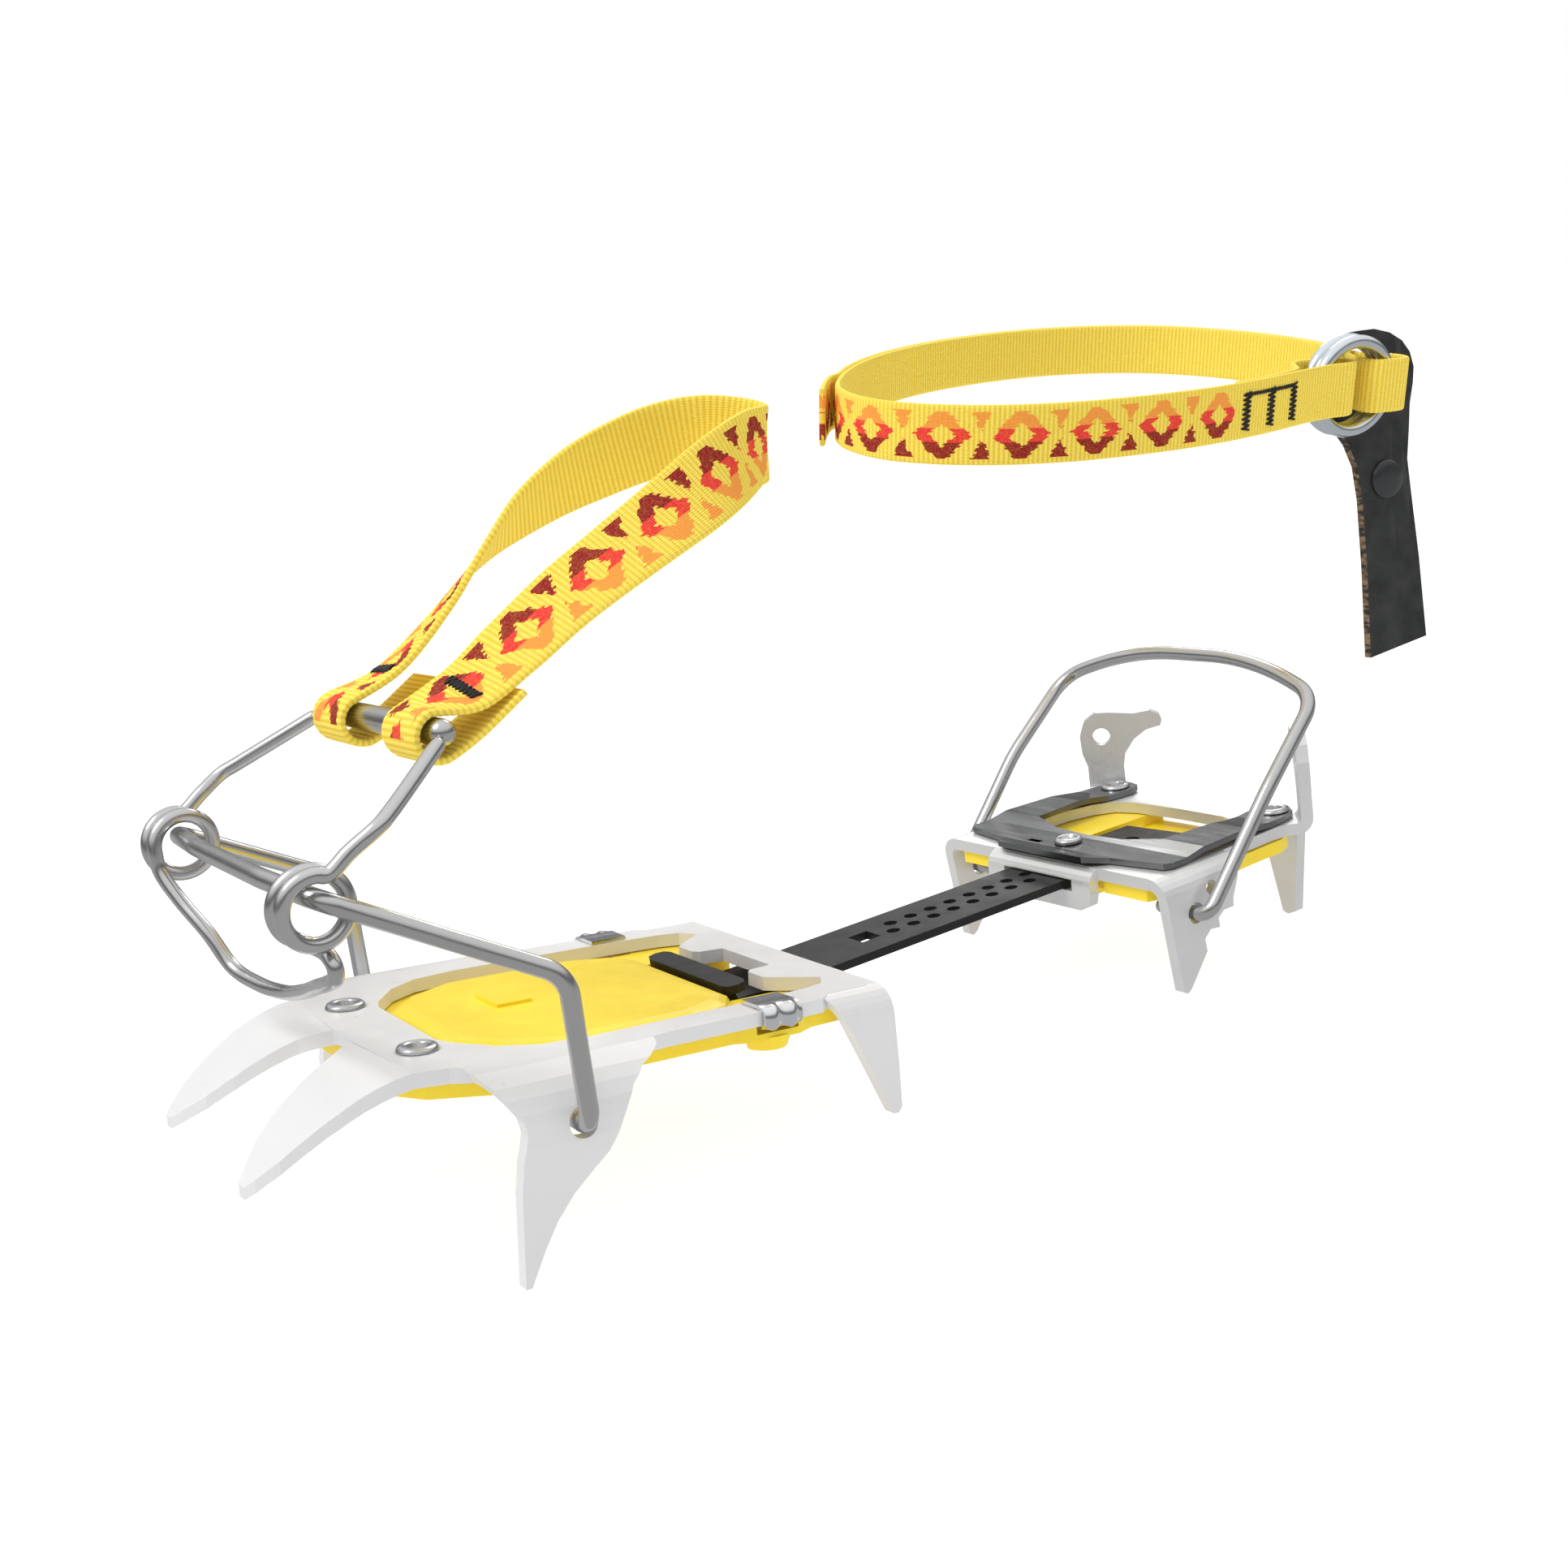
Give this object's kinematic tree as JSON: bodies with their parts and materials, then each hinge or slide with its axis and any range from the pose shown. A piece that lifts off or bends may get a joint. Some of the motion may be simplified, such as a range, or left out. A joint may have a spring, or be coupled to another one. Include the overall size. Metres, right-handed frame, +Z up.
{
  "type": "crampon",
  "caption": "Strap-on crampon with spiked toe and heel plates joined by a flat bar, wire bails, a toe lever with a webbing strap, and an ankle strap with rings",
  "frame": {"origin": "middle of the bounding box's bottom, on the floor the spikes stand on", "axes": "+X from toe to heel, +Y to the left side of the boot, +Z up"},
  "size_m": [0.3884, 0.1758, 0.1625],
  "materials": {
    "white_coat": "satin powder coat",
    "yellow_plastic": "satin moulded",
    "wire_steel": "satin drawn wire",
    "yellow_webbing": "ribbed woven webbing",
    "black_steel": "satin black",
    "silver_alloy": "satin",
    "dark_spring": "polished dark",
    "chrome": "bright plated",
    "black_thread": "sewn thread",
    "zinc": "bluish zinc plate",
    "black_rubber": "worn matt",
    "black_snap": "satin"
  },
  "bodies": {
    "front_section": {"front_plate": "white_coat", "front_antiball_plate": "yellow_plastic", "front_rivet_left": "chrome", "front_rivet_right": "chrome", "side_clip_left": "chrome", "side_clip_right": "chrome"},
    "toe_bail": {"toe_bail": "wire_steel"},
    "toe_lever": {"toe_lever": "wire_steel", "lever_sleeve": "wire_steel"},
    "toe_strap": {"toe_strap": "yellow_webbing", "toe_strap_tack_left": "black_thread", "toe_strap_tack_right": "black_thread"},
    "link": {"linking_bar": "black_steel"},
    "heel_section": {"heel_plate": "silver_alloy", "heel_antiball_plate": "yellow_plastic", "length_spring": "dark_spring", "lock_pin": "chrome", "heel_rivet_left": "chrome", "heel_rivet_right": "chrome", "heel_pin_left": "black_steel", "heel_pin_right": "black_steel"},
    "heel_bail": {"heel_bail": "wire_steel"},
    "ankle_strap": {"ankle_strap": "yellow_webbing", "ankle_strap_tack": "black_thread", "ankle_ring_1": "zinc", "ankle_ring_2": "zinc"},
    "pull_tab": {"pull_tab": "black_rubber", "tab_snap": "black_snap"}
  },
  "joints": [
    {"name": "toe_bail_hinge", "type": "hinge", "parent": "front_section", "child": "toe_bail", "pos_m": [-0.13899, -0.02998, 0.02692], "axis": [0, 1, 0], "range_deg": [0, 35]},
    {"name": "toe_lever_hinge", "type": "hinge", "parent": "toe_bail", "child": "toe_lever", "pos_m": [-0.17676, -0.02998, 0.07576], "axis": [0, 1, 0], "range_deg": [-30, 0]},
    {"name": "toe_strap_hinge", "type": "hinge", "parent": "toe_lever", "child": "toe_strap", "pos_m": [-0.14414, -0.02998, 0.09872], "axis": [0, 1, 0], "range_deg": [-25, 0]},
    {"name": "link_hinge", "type": "hinge", "parent": "front_section", "child": "link", "pos_m": [-0.08292, -0.02998, 0.02794], "axis": [0, 1, 0], "range_deg": [-1.5, 0]},
    {"name": "length_slide", "type": "slide", "parent": "link", "child": "heel_section", "axis": [0.9996, 0, 0.0279], "range_m": [-0.05, 0.02]},
    {"name": "heel_bail_hinge", "type": "hinge", "parent": "heel_section", "child": "heel_bail", "pos_m": [0.03167, -0.02998, 0.01894], "axis": [0, 1, 0], "range_deg": [-50, 0]},
    {"name": "ankle_strap_lift", "type": "slide", "parent": "front_section", "child": "ankle_strap", "axis": [0, 0, 1], "range_m": [0, 0.03]},
    {"name": "pull_tab_hinge", "type": "hinge", "parent": "ankle_strap", "child": "pull_tab", "pos_m": [0.17187, -0.01256, 0.1433], "axis": [0.9848, -0.1736, 0], "range_deg": [0, 12]}
  ]
}
